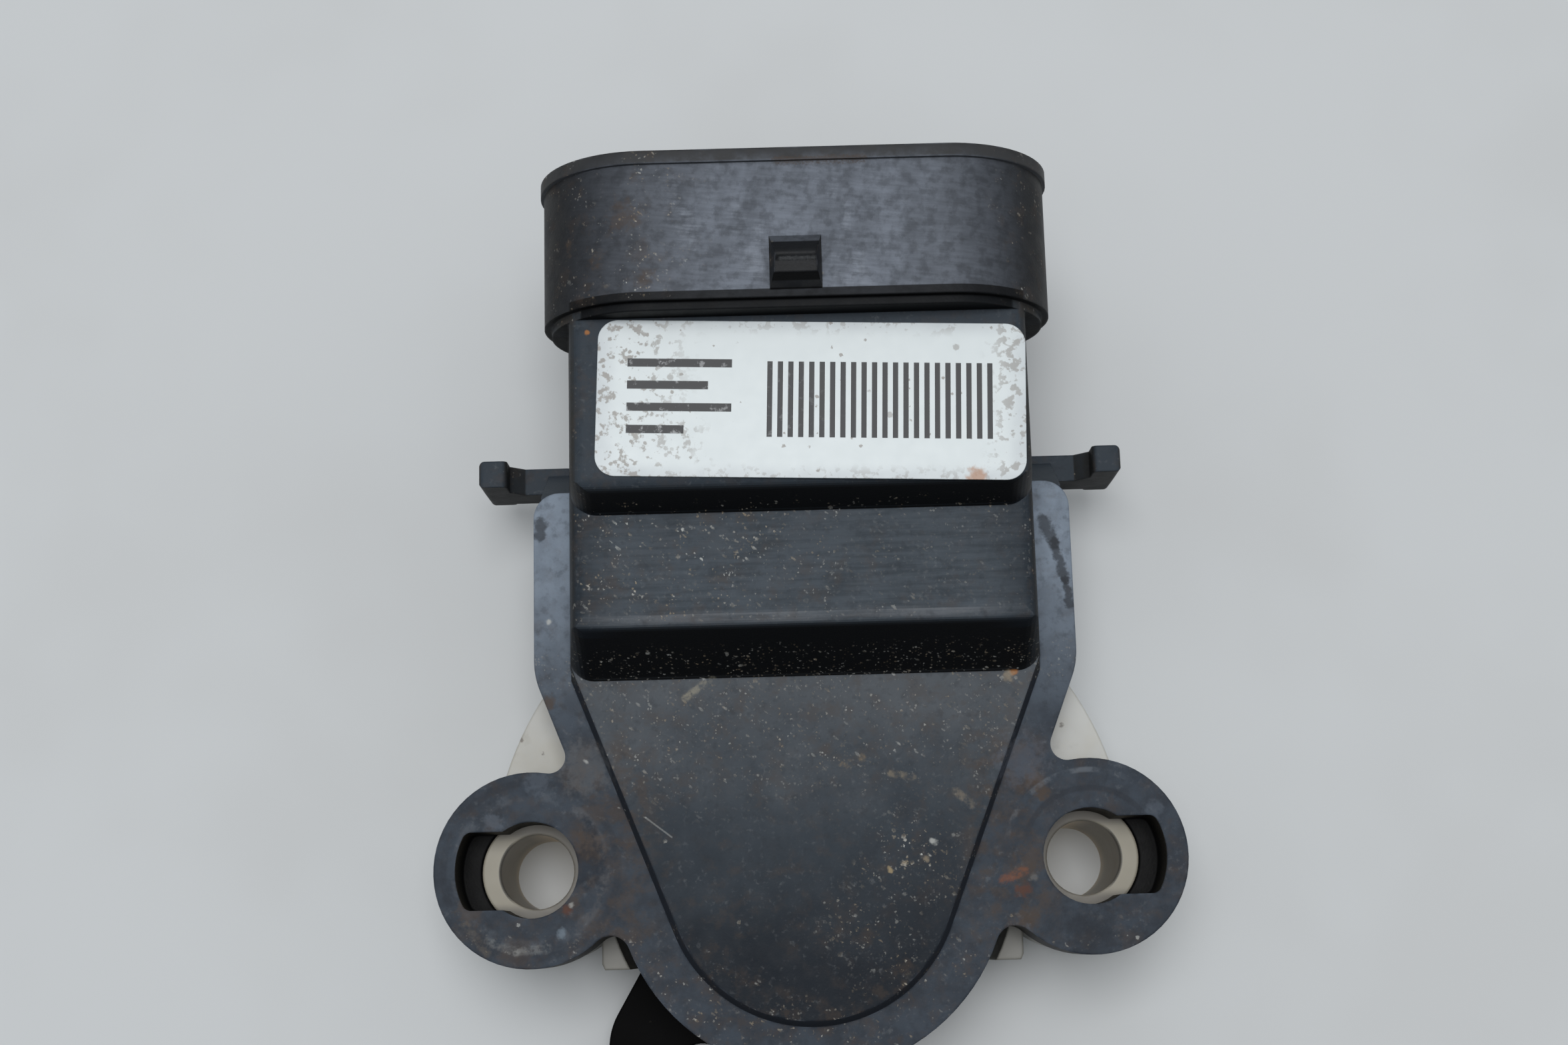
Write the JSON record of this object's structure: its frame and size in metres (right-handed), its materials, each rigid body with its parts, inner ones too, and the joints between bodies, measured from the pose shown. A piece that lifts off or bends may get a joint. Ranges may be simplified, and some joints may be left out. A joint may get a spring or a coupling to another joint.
{
  "type": "throttle position sensor",
  "caption": "Throttle position sensor with an oval multi-way connector, stepped body, two slotted bolt ears and a sprung drive lever under its round end.",
  "frame": {"origin": "where the rotor axis meets the plane that the sensor is bolted down on, midway between the two bolt holes", "axes": "+Z along the rotor axis from the bolting plane to the labelled face, +Y towards the connector mouth, +X along the line of the two bolt holes"},
  "size_m": [0.0458, 0.0591, 0.0243],
  "materials": {
    "housing_black": "glass-filled moulded plastic, matt, dusty",
    "lever_black": "moulded plastic, matt",
    "natural_nylon": "unpigmented moulded nylon",
    "label_silver": "silver-white film, satin",
    "seal_rubber": "moulded silicone rubber",
    "tinned_contact": "tin-plated, dull",
    "board": "laminate",
    "track_film": "printed carbon on film",
    "bronze": "sintered, oiled",
    "bright_steel": "ground and zinc-plated",
    "spring_steel": "drawn wire",
    "carrier_grey": "moulded plastic",
    "contact_alloy": "bright contact alloy"
  },
  "bodies": {
    "housing": {"front_housing": "housing_black", "base_cover": "natural_nylon", "label": "label_silver", "cover_seal": "seal_rubber", "terminal_1": "tinned_contact", "terminal_2": "tinned_contact", "terminal_3": "tinned_contact", "terminal_4": "tinned_contact", "terminal_5": "tinned_contact", "terminal_6": "tinned_contact", "sensor_board": "board", "resistor_tracks": "track_film", "shaft_bush": "bronze", "shaft_seal": "seal_rubber", "thrust_washer": "bronze", "return_spring": "spring_steel"},
    "rotor": {"rotor_shaft": "bright_steel", "wiper_carrier": "carrier_grey", "wiper_inner": "contact_alloy", "wiper_outer": "contact_alloy", "drive_lever": "lever_black", "push_nut": "bright_steel"}
  },
  "joints": [
    {"name": "lever_turn", "type": "hinge", "parent": "housing", "child": "rotor", "pos_m": [0, 0, 0], "axis": [0, 0, 1], "range_deg": [0, 60], "stiffness_Nm_per_rad": 0.05, "springref_deg": -34.38, "deforming": ["return_spring"]}
  ]
}
